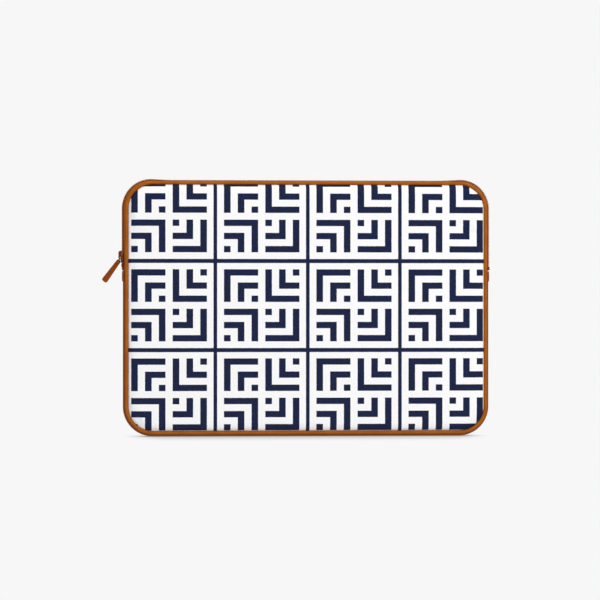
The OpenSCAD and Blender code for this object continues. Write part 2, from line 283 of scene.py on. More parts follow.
def srgb(r, g, b):
    """A colour from its screen values, 0 to 255."""
    return tuple((c / 255 / 12.92) if c <= 10 else ((c / 255 + 0.055) / 1.055) ** 2.4 for c in (r, g, b)) + (1.0,)


class Graph:
    """A material's or the world's node tree, with short calls for the few nodes used here."""

    def __init__(self, owner):
        owner.use_nodes = True
        self.owner, self.tree = owner, owner.node_tree

    @classmethod
    def of_material(cls, name):
        g = cls(bpy.data.materials.new(name))
        g.shader = g.tree.nodes["Principled BSDF"]
        g.uv = g.node("ShaderNodeUVMap", uv_map="cloth").outputs[0]
        g.place = g.node("ShaderNodeTexCoord").outputs["Object"]
        return g

    def node(self, kind, inputs=(), **settings):
        made = self.tree.nodes.new(kind)
        for key, value in settings.items():
            setattr(made, key, value)
        for key, value in dict(inputs).items():
            self.put(made.inputs[key], value)
        return made

    def put(self, socket, value):
        if isinstance(value, bpy.types.NodeSocket):
            self.tree.links.new(value, socket)
        else:
            socket.default_value = value

    def math(self, operation, *values):
        return self.node("ShaderNodeMath", dict(enumerate(values)), operation=operation).outputs[0]

    def scaled(self, vector, x, y=None, z=None):
        scale = (x, x if y is None else y, x if z is None else z)
        return self.node("ShaderNodeVectorMath", {0: vector, 1: scale}, operation="MULTIPLY").outputs[0]

    def noise(self, vector, scale, detail=2.0, rough=0.5):
        inputs = {"Vector": vector, "Scale": scale, "Detail": detail, "Roughness": rough}
        return self.node("ShaderNodeTexNoise", inputs).outputs[0]

    def cells(self, vector, scale, feature="F1"):
        inputs = {"Vector": vector, "Scale": scale}
        return self.node("ShaderNodeTexVoronoi", inputs, feature=feature).outputs["Distance"]

    def twist(self, vector, pitch_mm, distortion):
        """The slanting strands of a thread or cord."""
        inputs = {"Vector": vector, "Scale": 1 / (pitch_mm * MM), "Distortion": distortion}
        return self.node("ShaderNodeTexWave", inputs, bands_direction="DIAGONAL").outputs[1]

    def spread(self, value, low, high, to_low=0.0, to_high=1.0):
        inputs = {"Value": value, "From Min": low, "From Max": high, "To Min": to_low, "To Max": to_high}
        return self.node("ShaderNodeMapRange", inputs).outputs[0]

    def mix(self, factor, a, b):
        made = self.node("ShaderNodeMix", data_type="RGBA")
        self.put(made.inputs[0], factor)
        self.put(made.inputs[6], a)
        self.put(made.inputs[7], b)
        return made.outputs[2]

    def bump(self, height, distance_mm, strength=1.0):
        inputs = {"Height": height, "Distance": distance_mm * MM, "Strength": strength}
        self.put(self.shader.inputs["Normal"], self.node("ShaderNodeBump", inputs).outputs[0])

    def finish(self, **inputs):
        for key, value in inputs.items():
            self.put(self.shader.inputs[key.replace("_", " ")], value)
        return self.owner

    def show(self, lit, seen):
        """Lights the scene with one shader and shows the camera the other."""
        camera_ray = self.node("ShaderNodeLightPath").outputs["Is Camera Ray"]
        both = self.node("ShaderNodeMixShader", {0: camera_ray, 1: lit, 2: seen}).outputs[0]
        self.put(self.tree.get_output_node("ALL").inputs["Surface"], both)


def weave(g, pitch):
    """Height of a plain weave, 0 to 1, from the cloth's own coordinates."""
    x, y, _ = g.node("ShaderNodeSeparateXYZ", {0: g.uv}).outputs

    a, b = (g.math("SINE", g.math("MULTIPLY", value, math.pi / (pitch * MM))) for value in (x, y))
    up = g.math("GREATER_THAN", g.math("MULTIPLY", a, b), 0.0)
    warp = g.math("MULTIPLY", up, g.math("ABSOLUTE", a))
    return g.math("ADD", warp, g.math("MULTIPLY", g.math("SUBTRACT", 1.0, up), g.math("ABSOLUTE", b)))


# The print is a repeat of square tiles ruled off by thin lines. Each tile holds four blocks, and each
# block holds two nested angles and a square, all on one pitch of bars and gaps.
TILE = (85.53, 82.29)
RULE = (3.4, 3.8)
FIRST_BAR = (7.95, 7.65)
BAR_PITCH = (12.735, 12.15)
BAR_SHARE = 0.485
TILE_ORIGIN = (0.75, 162.2)


def print_mask(g):
    """1 on the print's ink and 0 on bare cloth, from the cloth's own coordinates."""
    wander = g.math("MULTIPLY", g.math("SUBTRACT", g.noise(g.uv, 900.0, 1.0), 0.5), 0.00016)
    x, z, _ = g.node("ShaderNodeSeparateXYZ", {0: g.uv}).outputs

    def in_tile(value, origin, tile, sign):
        shifted = g.math("SUBTRACT", g.math("ADD", value, wander), origin * MM)
        return g.math("MULTIPLY", g.math("FRACT", g.math("MULTIPLY", shifted, sign / (tile * MM))), tile)

    across = in_tile(x, TILE_ORIGIN[0], TILE[0], 1.0)
    down = in_tile(z, TILE_ORIGIN[1], TILE[1], -1.0)

    def on_rule(value, tile, rule):
        edge = g.math("MINIMUM", value, g.math("SUBTRACT", tile, value))
        return g.math("LESS_THAN", edge, rule / 2)

    rules = g.math("MAXIMUM", on_rule(across, TILE[0], RULE[0]), on_rule(down, TILE[1], RULE[1]))
    col = g.math("DIVIDE", g.math("SUBTRACT", across, FIRST_BAR[0]), BAR_PITCH[0])
    row = g.math("DIVIDE", g.math("SUBTRACT", down, FIRST_BAR[1]), BAR_PITCH[1])
    next_block, block = 3.0, 2 + BAR_SHARE  # pitches to the next block, and across one
    halfway = 2.75  # in the gap between two blocks
    right = g.math("GREATER_THAN", col, halfway)
    lower = g.math("GREATER_THAN", row, halfway)

    def from_corner(value, past, reverse):
        local = g.math("SUBTRACT", value, g.math("MULTIPLY", past, next_block))
        ahead = g.math("MULTIPLY", reverse, g.math("SUBTRACT", block, local))
        return local, g.math("ADD", ahead, g.math("MULTIPLY", g.math("SUBTRACT", 1.0, reverse), local))

    col_local, col_from = from_corner(col, right, lower)
    row_local, row_from = from_corner(row, lower, right)

    def inside(value):
        return g.math("MULTIPLY", g.math("GREATER_THAN", value, 0.0), g.math("LESS_THAN", value, block))

    nearest = g.math("MINIMUM", col_from, row_from)
    bar = g.math("LESS_THAN", g.math("FRACT", nearest), BAR_SHARE)
    angles = g.math("MULTIPLY", bar, g.math("MULTIPLY", inside(col_local), inside(row_local)))
    return g.math("MAXIMUM", rules, angles)


def printed_cloth():
    g = Graph.of_material("printed_canvas_cloth")
    height = weave(g, 0.42)
    slub = g.noise(g.scaled(g.uv, 1.0, 14.0), 160.0, 2.0)
    ink = print_mask(g)
    white = g.mix(g.spread(slub, 0.3, 0.7), (0.85, 0.85, 0.86, 1), (0.895, 0.895, 0.9, 1))
    navy = g.mix(g.spread(g.noise(g.uv, 420.0, 3.0), 0.3, 0.7), srgb(18, 27, 58), srgb(27, 35, 68))
    colour = g.mix(ink, white, navy)
    # Painted shade: the weave's low valleys are darkened towards grey.
    colour = g.mix(g.spread(height, 0.0, 0.5, 0.10, 0.0), colour, (0.25, 0.25, 0.3, 1))
    g.bump(g.math("ADD", height, g.math("MULTIPLY", slub, 0.6)), 0.05, 0.5)
    sheen = g.spread(ink, 0, 1, 0.1, 0.0)
    return g.finish(
        Base_Color=colour, Roughness=0.9, Sheen_Weight=sheen, Sheen_Roughness=0.5, Specular_IOR_Level=0.06
    )


def leather(name, light, dark, pebble=0.62, rough=0.48, grain=0.07, shine=0.16, use_uv=True):
    """Artificial leather: an embossed pebble grain, fine pores, cloudy colour, and painted shade that darkens the
    grain's valleys.
    """
    g = Graph.of_material(name)
    place = g.uv if use_uv else g.place
    drift = g.node("ShaderNodeTexNoise", {"Vector": place, "Scale": 420.0, "Detail": 3.0}).outputs[1]
    warped = g.node("ShaderNodeVectorMath", {0: place, 1: g.scaled(drift, 0.0009)}, operation="ADD").outputs[0]
    crease = g.cells(warped, 1 / (pebble * MM), "DISTANCE_TO_EDGE")
    grains = g.spread(crease, 0.0, 0.22)
    pores = g.noise(place, 1 / (0.16 * MM), 2.0)
    cloud = g.noise(place, 1 / (14 * MM), 3.0)
    high = g.math("ADD", g.math("MULTIPLY", grains, 0.7), g.math("MULTIPLY", pores, 0.3))
    colour = g.mix(g.spread(cloud, 0.32, 0.68), dark, light)
    # Painted shade: the grain's creases are darkened towards half the dark colour.
    colour = g.mix(g.spread(grains, 0.0, 0.7, 0.34, 0.0), colour, tuple(c * 0.5 for c in dark[:3]) + (1,))
    g.bump(high, grain, 0.7)
    roughness = g.spread(high, 0.2, 0.9, rough + 0.16, rough - 0.06)
    return g.finish(Base_Color=colour, Roughness=roughness, Specular_IOR_Level=shine)


def tape_cloth():
    """Zip tape: a fine herringbone that runs along the tape, with painted shade in the grooves between its ribs."""
    g = Graph.of_material("zip_tape_cloth")
    x, y, _ = g.node("ShaderNodeSeparateXYZ", {0: g.uv}).outputs
    band = 1.7 * MM
    zigzag = g.math("PINGPONG", y, band)
    phase = g.math("MULTIPLY", g.math("ADD", x, zigzag), 2 * math.pi / (0.62 * MM))
    ribs = g.spread(g.math("SINE", phase), -1.0, 1.0)
    fuzz = g.noise(g.uv, 1 / (0.12 * MM), 2.0)
    cloud = g.noise(g.uv, 1 / (20 * MM), 2.0)
    colour = g.mix(g.spread(cloud, 0.3, 0.7), srgb(164, 86, 14), srgb(178, 96, 20))
    # Painted shade: darker in the grooves between the ribs.
    colour = g.mix(g.spread(ribs, 0.0, 0.7, 0.5, 0.0), colour, srgb(104, 50, 8))
    g.bump(g.math("ADD", ribs, g.math("MULTIPLY", fuzz, 0.4)), 0.09, 0.8)
    return g.finish(Base_Color=colour, Roughness=0.8, Specular_IOR_Level=0.1)


def plush():
    g = Graph.of_material("plush_cloth")
    tufts = g.cells(g.uv, 1 / (0.5 * MM))
    lie = g.noise(g.scaled(g.uv, 1.0, 1.6), 1 / (16 * MM), 3.0)
    colour = g.mix(g.spread(lie, 0.3, 0.7), srgb(112, 119, 132), srgb(146, 152, 163))
    # Painted shade: darker in the low gaps between the tufts.
    colour = g.mix(g.spread(tufts, 0.25, 0.75, 0.0, 0.5), colour, srgb(84, 90, 103))
    g.bump(g.math("ADD", g.math("MULTIPLY", tufts, -1.0), g.math("MULTIPLY", lie, 0.8)), 0.22, 0.9)
    return g.finish(Base_Color=colour, Roughness=0.95, Sheen_Weight=0.5, Sheen_Roughness=0.4, Specular_IOR_Level=0.1)


def thread(name, colour, dark):
    g = Graph.of_material(name)
    twist = g.twist(g.place, 1.1, 1.0)
    g.bump(twist, 0.05, 0.8)
    # Painted shade: darker in the grooves of the twist.
    return g.finish(Base_Color=g.mix(g.spread(twist, 0.1, 0.8), dark, colour), Roughness=0.6, Specular_IOR_Level=0.2)


def foam():
    g = Graph.of_material("foam_cells")
    bubbles = g.cells(g.place, 1 / (0.9 * MM))
    # Painted shade: darker in the middle of each cell, where the pores sink in.
    colour = g.mix(g.spread(bubbles, 0.1, 0.6), srgb(70, 71, 74), srgb(112, 113, 116))
    g.bump(bubbles, 0.2, 0.7)
    return g.finish(Base_Color=colour, Roughness=0.9, Specular_IOR_Level=0.2)


def cord():
    g = Graph.of_material("cotton_cord")
    strands = g.twist(g.uv, 3.4, 0.6)
    g.bump(strands, 0.15, 0.8)
    # Painted shade: darker in the grooves between the strands.
    return g.finish(Base_Color=g.mix(strands, srgb(170, 160, 138), srgb(226, 219, 202)), Roughness=0.9)


def paint(name, colour, worn):
    """Enamel over die-cast zinc: a soft orange peel, and bare, brighter metal where the edges rub."""
    g = Graph.of_material(name)
    peel = g.noise(g.place, 1 / (0.7 * MM), 2.0)
    scuff = g.noise(g.place, 1 / (0.35 * MM), 4.0, 0.7)
    edge = g.spread(g.node("ShaderNodeNewGeometry").outputs["Pointiness"], 0.58, 0.72)
    wear = g.math("MULTIPLY", edge, g.spread(scuff, 0.54, 0.68, 0.0, 0.4))
    g.bump(peel, 0.03, 0.4)
    shaded = g.mix(g.spread(peel, 0.3, 0.7), colour, tuple(c * 0.8 for c in colour[:3]) + (1,))
    return g.finish(
        Base_Color=g.mix(wear, shaded, worn),
        Metallic=g.spread(wear, 0, 1, 0.0, 0.9),
        Roughness=g.spread(scuff, 0.3, 0.7, 0.42, 0.56),
        Specular_IOR_Level=0.09,
        Coat_Weight=0.03,
        Coat_Roughness=0.25,
    )


def steel():
    """Spring steel with a dark bronze finish and fine rolling lines."""
    g = Graph.of_material("bronzed_spring_steel")
    lines = g.noise(g.scaled(g.place, 30.0, 30.0, 1.0), 1 / (2 * MM), 3.0)
    g.bump(lines, 0.01, 0.5)
    colour = g.mix(lines, (0.10, 0.055, 0.03, 1), (0.17, 0.10, 0.06, 1))
    return g.finish(Base_Color=colour, Metallic=0.8, Roughness=0.45)


def nylon():
    """Dyed nylon filament: slightly clear, smooth, with fine drawn lines."""
    g = Graph.of_material("zip_nylon")
    lines = g.noise(g.place, 1 / (0.3 * MM), 2.0)
    g.bump(lines, 0.02, 0.5)
    return g.finish(
        Base_Color=g.mix(lines, srgb(158, 82, 12), srgb(184, 100, 20)),
        Roughness=0.42,
        Subsurface_Weight=0.08,
        Subsurface_Scale=0.6 * MM,
        Specular_IOR_Level=0.25,
    )


CLOTH = printed_cloth()
PIPING_LEATHER = leather("piping_leather_grain", srgb(167, 93, 14), srgb(151, 80, 9), shine=0.12)
# Painted shade: the gusset and end patches use the piping's leather painted darker, for walls that face sideways.
SHADED_GUSSET_LEATHER = leather("gusset_leather_grain_shaded", srgb(152, 73, 9), srgb(138, 63, 6), shine=0.1)
PULL_LEATHER = leather(
    "pull_leather_grain", srgb(150, 70, 4), srgb(130, 57, 2), pebble=0.55, shine=0.06, use_uv=False
)
EDGE_PAINT = leather(
    "pull_edge_paint", srgb(98, 46, 7), srgb(80, 37, 5), pebble=0.4, rough=0.5, grain=0.02, shine=0.05, use_uv=False
)
TAPE = tape_cloth()
PLUSH = plush()
FOAM = foam()
CORD = cord()
NYLON = nylon()
TAN_THREAD = thread("tan_thread_twist", srgb(186, 112, 40), srgb(110, 58, 14))
PAINT = paint("slider_enamel", srgb(126, 60, 5), (0.42, 0.24, 0.08, 1))
STEEL = steel()


def dress(obj, material):
    obj.data.materials.clear()
    obj.data.materials.append(material)
    return obj


# ---------- panels: rings round the outline, and a grid in the middle ----------

GRID_X, CORNER_STEPS = 84, 12
# Heights of the grid's rows, close together where the mouth bends.
LOW_ROWS = np.linspace(CORNER_R, FOLD - 4, 44)[:-1]
BEND_ROWS = np.linspace(FOLD - 4, FOLD + 18, 23)[:-1]
ROWS = np.concatenate([LOW_ROWS, BEND_ROWS, np.linspace(FOLD + 18, SLEEVE_H - CORNER_R, 8)])
GRID_Z = len(ROWS) - 1


def ring_stations():
    """Stations round the whole outline that line up with the grid's border."""

    def part(start, length, steps):
        return np.linspace(start, start + length, steps + 1)[:-1]

    def corner(start):
        return part(start, QUARTER, CORNER_STEPS)

    right = RUN_X + QUARTER + SIDE
    left = right + QUARTER + 2 * RUN_X
    low = left + QUARTER + SIDE
    pieces = [part(0, RUN_X, GRID_X // 2), corner(RUN_X), s_right(ROWS)[:-1]]
    pieces += [corner(right), part(right + QUARTER, 2 * RUN_X, GRID_X), corner(left), s_left(ROWS[::-1])[:-1]]
    return np.concatenate([*pieces, corner(low), part(low + QUARTER, RUN_X, GRID_X // 2)])


def border_index():
    """For each station, the grid vertex it meets: corner stations share the grid's corner."""
    half = GRID_X // 2
    cells = [(half + i, 0) for i in range(half)] + [(GRID_X, 0)] * CORNER_STEPS
    cells += [(GRID_X, j) for j in range(GRID_Z)] + [(GRID_X, GRID_Z)] * CORNER_STEPS
    cells += [(GRID_X - i, GRID_Z) for i in range(GRID_X)] + [(0, GRID_Z)] * CORNER_STEPS
    cells += [(0, GRID_Z - j) for j in range(GRID_Z)] + [(0, 0)] * CORNER_STEPS
    cells += [(i, 0) for i in range(half)]
    return [j * (GRID_X + 1) + i for i, j in cells]


STATIONS = ring_stations()
BORDER = border_index()


def sheet(profile):
    """Vertices and faces of an open sheet over the whole outline. profile lists (d, y) rings from the outside in;
    the grid continues at the last ring's y."""
    rings = [at_inset(STATIONS, d, y) for d, y in profile]
    gx = np.linspace(-RUN_X, RUN_X, GRID_X + 1)
    mx, mz = np.meshgrid(gx, ROWS)
    middle = np.stack([mx.ravel(), np.full(mx.size, profile[-1][1]), mz.ravel()], axis=1)
    points = np.concatenate(rings + [middle])
    n = len(STATIONS)
    faces = [(a, d, c, b) for a, b, c, d in bands(len(profile), n)]
    last, base = (len(profile) - 1) * n, len(profile) * n
    for i in range(n):
        j = (i + 1) % n
        a, b = base + BORDER[i], base + BORDER[j]
        faces.append((last + i, last + j, b, a) if a != b else (last + i, last + j, a))
    for j in range(GRID_Z):
        for i in range(GRID_X):
            a = base + j * (GRID_X + 1) + i
            faces.append((a, a + 1, a + GRID_X + 2, a + GRID_X + 1))
    return points, faces


def inset_of(points):
    """How far inside the outline each point is, for points no deeper than the corner radius."""
    over_x = np.abs(points[:, 0]) - RUN_X
    over_z = np.abs(points[:, 2] - SLEEVE_H / 2) - SIDE / 2
    outside = np.hypot(np.maximum(over_x, 0), np.maximum(over_z, 0))
    return np.where((over_x < 0) & (over_z < 0), CORNER_R - np.maximum(over_x, over_z), CORNER_R - outside)


def two_skins(name, outer, inner, side, push):
    """A closed pad from an outer and an inner profile of equal length, joined at their first rings. push holds
    how far each sheet's vertices move."""
    top, faces = sheet(outer)
    low, _ = sheet(inner)
    rest = np.concatenate([top + push[0], low + push[1]])
    both = rest * (1, side, 1)
    shift, n = len(top), len(STATIONS)
    faces = faces + [tuple(shift + i for i in reversed(f)) for f in faces]
    faces += [((i + 1) % n, i, shift + i, shift + (i + 1) % n) for i in range(n)]
    uv = [(rest[i, 0] * -side, rest[i, 2]) for f in faces for i in f]
    return face_outwards(new_mesh(name, both, faces, uv))


def evaluated(obj):
    """Bakes an object's modifiers into its mesh."""
    depsgraph = bpy.context.evaluated_depsgraph_get()
    mesh = bpy.data.meshes.new_from_object(obj.evaluated_get(depsgraph))
    obj.modifiers.clear()
    mesh.name = obj.name
    obj.data = mesh
    return obj


def refine(obj):
    """Applies one level of a subdivision surface."""
    modifier = obj.modifiers.new("smooth", "SUBSURF")
    modifier.levels = modifier.render_levels = 1
    modifier.uv_smooth = "PRESERVE_BOUNDARIES"
    return evaluated(obj)


SHOULDER_STEPS = 9
FLAT_RINGS = (19.0, 23.5)  # insets of the last rings before the grid


def shoulder(skin):
    """The panel's rounded edge, from the bead up to where it is flat, moved in by skin."""
    return arc((FLAT_D, PIPING_Y), (SHOULDER - skin, CROWN - skin), 180, 90, SHOULDER_STEPS)


def cover_profiles():
    """Outer and inner rings of a cover, from the end of its seam allowance in to where the panel is flat."""
    v = FLANGE + AIR
    back = v + COVER_T
    outer = [seam(SEAM_L, v), seam(4.5, v)]
    outer += arc((PIPING_D, PIPING_Y), BEAD_R, -27, -4, 3) + shoulder(0)[1:]
    outer += [(d, PANEL_Y) for d in FLAT_RINGS]
    bend = (SHOULDER_D + COVER_T, PIPING_Y)
    inner = [seam(u, back) for u in (SEAM_L, 4.5, 3.0, 2.2)]
    inner += [(bend[0] + 0.1, bend[1] - 0.9), bend] + shoulder(COVER_T)[1:]
    inner += [(d, PANEL_Y - COVER_T) for d in FLAT_RINGS]
    return outer, inner


PUFF_CAP = 1.5  # the most that the padding lifts a panel
PUCKER = 0.16  # depth of the gathers beside the seam
WAVE = 0.10  # depth of the slow waves over the whole panel
HELD = SHOULDER_D + 0.6  # the cloth is fixed out to this inset
LAST_FRAME = 20


def puffed(profile):
    """Blows the panel up as cloth held along its seam, and returns how far each vertex moved."""
    points, faces = sheet(profile)
    obj = new_mesh("puff_rig", points, faces)
    held = obj.vertex_groups.new(name="seam")
    fixed = (inset_of(points) < HELD) | (points[:, 1] < PIPING_Y)
    held.add([int(i) for i in np.where(fixed)[0]], 1.0, "REPLACE")
    cloth = obj.modifiers.new("cloth", "CLOTH")
    stiffness = {"tension_stiffness": 18, "compression_stiffness": 18, "shear_stiffness": 8, "bending_stiffness": 0.6}
    pinned = {"quality": 4, "mass": 0.3, "air_damping": 4, "vertex_group_mass": "seam"}
    blown = {"use_pressure": True, "uniform_pressure_force": 3.0, "shrink_min": -0.006}
    for key, value in {**stiffness, **pinned, **blown}.items():
        setattr(cloth.settings, key, value)
    cloth.settings.effector_weights.gravity = 0
    cloth.point_cache.frame_start, cloth.point_cache.frame_end = 1, LAST_FRAME
    scene = bpy.context.scene
    for number in range(1, LAST_FRAME + 1):
        scene.frame_set(number)
    depsgraph = bpy.context.evaluated_depsgraph_get()
    swelled = obj.evaluated_get(depsgraph).to_mesh()
    co = np.zeros(len(points) * 3)
    swelled.vertices.foreach_get("co", co)
    moved = co.reshape(-1, 3) / MM - points
    scene.frame_set(1)
    bpy.data.objects.remove(obj)
    return moved


def lumps(points, scale, seed):
    """Smooth noise over a sheet, one value for each point."""
    return np.array([noise.noise(Vector((p[0] * scale, p[2] * scale, seed))) for p in points])


def panel_push(profile, seed):
    """How far padding and gathers push each vertex of a panel's sheet."""
    points, _ = sheet(profile)
    inset = inset_of(points)
    out = np.abs(puffed(profile)[:, 1])
    near_seam = np.exp(-(((inset - SHOULDER_D - 5) / 5.5) ** 2))
    uneven = PUCKER * lumps(points, 0.13, seed) * near_seam + WAVE * lumps(points, 0.045, seed + 9.0)
    push = np.zeros_like(points)
    push[:, 1] = PUFF_CAP * np.tanh(out / PUFF_CAP) * (points[:, 1] >= PIPING_Y - 1e-6)
    push[:, 1] += np.clip((inset - HELD) / 6, 0, 1) * uneven
    return push


def make_cover(name, side, seed):
    outer, inner = cover_profiles()
    push = panel_push(outer, seed)
    obj = refine(two_skins(name, outer, inner, side, (push, push)))
    keep(dress(obj, CLOTH), side, "cover")


def make_foam(name, side):
    gap = FLANGE + AIR + COVER_T + 2 * AIR
    skin = COVER_T + 0.25
    outer = shoulder(skin) + [(d, PANEL_Y - skin) for d in FLAT_RINGS]
    low_d = seam(gap + (PIPING_Y - FOAM_Y) * math.sqrt(2), gap)[0]
    inner = [(d, FOAM_Y) for d in [*np.linspace(low_d, FLAT_D, SHOULDER_STEPS + 1), *FLAT_RINGS]]
    points, _ = sheet(outer)
    lift = np.zeros_like(points)
    lift[:, 1] = np.clip((inset_of(points) - SHOULDER_D - 3) / 20, 0, 1) * (PUFF_CAP * 0.5)
    keep(dress(two_skins(name, outer, inner, side, (lift, lift * 0)), FOAM), side, "foam")


def make_lining(name, side, seed):
    edge, r = 7.7, LINING_T / 2
    mid = LINING_Y + r
    insets = [edge, edge + 0.12, edge + r, 10.0, 13.0, 16.0, 19.5, 23.5]
    rise = [0.12, r * 0.75] + [r] * (len(insets) - 2)
    outer, inner = ([(d, mid + sign * h) for d, h in zip(insets, rise)] for sign in (1, -1))
    points, _ = sheet(outer)
    pile = np.zeros_like(points)
    pile[:, 1] = 0.12 * lumps(points, 0.06, seed) - 0.06
    pile *= (inset_of(points) > 9)[:, None]
    obj = refine(two_skins(name, outer, inner, side, (pile * 0, pile)))
    keep(dress(obj, PLUSH), side, "lining")


def bend_or_ride(obj, side):
    if side == FRONT:
        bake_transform(obj)
    else:
        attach(obj, "shell")


def keep(obj, side, kind):
    """Puts a front or back piece in place of its CAD parts; the front's are halves that meet at the fold."""
    words = ["front" if side == FRONT else "back", kind]
    stem = "_".join(reversed(words) if kind.startswith("zip") else words)
    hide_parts(*([f"{stem}_lower", f"{stem}_upper"] if side == FRONT else [stem]))
    bend_or_ride(obj, side)


# ---------- trim ----------

TAPE_END = {FRONT: GUSSET_TOP + 0.2, BACK: TAPE_LOW}  # heights the two tapes start from

JOIN_AT = LOOP - 22.7  # the piping's ends overlap at the bottom, left of the middle
OVERLAP_L, OVERLAP_T = 12.0, 0.22
BEAD_SIDES = 22


def around_loop(step):
    """Stations all round the outline."""
    return np.linspace(0, LOOP, int(LOOP / step) + 1)[:-1]


def bead_wobble(s, count, seed, amount):
    """Slight unevenness of a stuffed bead, seamless round the outline and round the bead."""
    push = np.zeros((len(s), count))
    for i, value in enumerate(s):
        angle = value / LOOP * 2 * math.pi
        for k in range(count):
            turn = k / count * 2 * math.pi
            place = Vector((60 * math.cos(angle), 60 * math.sin(angle), 1.5 * math.cos(turn) + seed))
            push[i, k] = amount * noise.noise(place + Vector((0, 0, 1.5 * math.sin(turn))))
    return push


def make_piping(name, side, seed):
    """Leather wrapped round a cord, its two flanges lying together in the seam."""
    s = around_loop(1.3)
    bead = arc((PIPING_D, PIPING_Y), PIPING_R, -45 + 16.5, 315 - 16.5, BEAD_SIDES)  # open where the flanges leave
    flange = [seam(3, -FLANGE), seam(SEAM_L, -FLANGE), seam(SEAM_L, FLANGE), seam(3, FLANGE)]
    section = np.array(bead + flange)
    count = len(section)
    push = bead_wobble(s, count, seed, 0.09)
    angle = np.arange(count) / count * 2 * math.pi
    away = np.abs((s[:, None] - JOIN_AT - 1.6 * np.sin(angle)[None, :] + LOOP / 2) % LOOP - LOOP / 2)
    push += OVERLAP_T * np.clip((OVERLAP_L / 2 - away) / 0.9, 0, 1)
    push[:, BEAD_SIDES + 1 :] = 0
    obj = sweep(name, s, section, side, closed=True, wobble=push)
    keep(dress(obj, PIPING_LEATHER), side, "piping")


def make_cord(name, side):
    section = arc((PIPING_D, PIPING_Y), PIPING_R - WRAP_T - AIR, 0, 360, 14)[:-1]
    keep(dress(sweep(name, around_loop(2), section, side, closed=True), CORD), side, "cord")


def make_binding(name, side):
    """Tape folded over the raw ends of the seam allowances."""
    high, low, t = FLANGE + 2 * AIR + COVER_T, -(FLANGE + 2 * AIR + GUSSET_T), 0.5
    start, end = 4.8, SEAM_L + AIR
    near = [(start, high), (start, high + t * 0.8), (start + 0.15, high + t)]
    fold = [(end + t * 0.6, high + t), (end + t, high + t * 0.5), (end + t, low - t * 0.5), (end + t * 0.6, low - t)]
    far = [(start + 0.15, low - t), (start, low - t * 0.8), (start, low)]
    section = [seam(u, v) for u, v in near + fold + far + [(end, low), (end, high)]]
    obj = sweep(name, around_loop(1.6), section, side, closed=True)
    keep(dress(obj, TAPE), side, "binding")


def settle(obj, body, *cad):
    """Lets a piece ride on a body, in place of the CAD parts it stands for."""
    if cad:
        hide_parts(*cad)
    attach(obj, body)


def make_gusset():
    s = spread(s_left(GUSSET_TOP) - LOOP, s_right(GUSSET_TOP), 1.4)
    outer, inner = wall_with_seam(0, GUSSET_FLAT, GUSSET_T)
    strip = sweep("gusset_leather", s, outer + mirrored(outer) + mirrored(inner) + inner)
    settle(dress(strip, SHADED_GUSSET_LEATHER), "shell", "gusset_strip")
    skin, reach = GUSSET_T + AIR, 64  # the lining stops short of the seams
    near = list(reversed(wall(0, GUSSET_FLAT, skin, reach)))
    far = wall(0, GUSSET_FLAT, skin + 0.6, reach)
    lining = sweep("gusset_plush", s, near + mirrored(near) + mirrored(far) + far)
    settle(dress(lining, PLUSH), "shell", "gusset_lining")


def make_tape(name, side):
    """Zip tape sewn to the piping, with a ridge under the coil along its free edge."""
    s = spread(s_right(TAPE_END[side]), s_left(TAPE_END[side]), 1.4)
    rows = []
    for drop in sag(s):
        d, edge = TAPE_D + drop, 0.9
        outer, inner = wall_with_seam(d, TAPE_FLAT, TAPE_T)
        ridge = [(d - 0.1, 3.15), (d - 0.42, 2.85), (d - 0.46, 2.0), (d - 0.42, edge + 0.15)]
        rows.append(outer + ridge + [(d - 0.3, edge), (d + TAPE_T - 0.1, edge), (d + TAPE_T, edge + 0.1)] + inner)
    keep(dress(sweep(name, s, rows, side), TAPE), side, "zip_tape")


COIL_PITCH = 1.27
WIRE = 0.31
TURN_STEPS, WIRE_SIDES = 14, 6


def tube(name, path, radius, sides, closed=False):
    """A round bar along a path of points, with its ends closed off."""
    path = np.asarray(path, float)
    n = len(path)
    ahead = np.roll(path, -1, axis=0) - np.roll(path, 1, axis=0)
    if not closed:
        ahead[0], ahead[-1] = path[1] - path[0], path[-1] - path[-2]
    ahead /= np.linalg.norm(ahead, axis=1, keepdims=True)
    normal = np.zeros_like(path)
    start = np.array([0.0, 1.0, 0.0]) if abs(ahead[0][1]) < 0.8 else np.array([1.0, 0.0, 0.0])
    current = start - ahead[0] * (start @ ahead[0])
    for i in range(n):
        current = current - ahead[i] * (current @ ahead[i])
        current = current / np.linalg.norm(current)
        normal[i] = current
    other = np.cross(ahead, normal)
    turn = np.linspace(0, 2 * math.pi, sides, endpoint=False)
    rings = (
        path[:, None, :]
        + radius * np.cos(turn)[None, :, None] * normal[:, None, :]
        + radius * np.sin(turn)[None, :, None] * other[:, None, :]
    )
    faces = bands(n, sides, closed)
    spans = [(i, a) for i in range(n if closed else n - 1) for a in range(sides)]
    uv = [(i + over, a + up) for i, a in spans for over, up in ((0, 0), (1, 0), (1, 1), (0, 1))]
    points = rings.reshape(-1, 3)
    if not closed:
        for i in (0, n - 1):
            points = np.concatenate([points, path[i : i + 1] + ahead[i] * (radius * 0.4) * (1 if i else -1)])
            tip = len(points) - 1
            for a in range(sides):
                b = (a + 1) % sides
                faces.append((i * sides + a, i * sides + b, tip) if i == 0 else (i * sides + b, i * sides + a, tip))
                uv += [(i, a), (i, a + 1), (i, a)]
    return face_outwards(new_mesh(name, points, faces, uv))


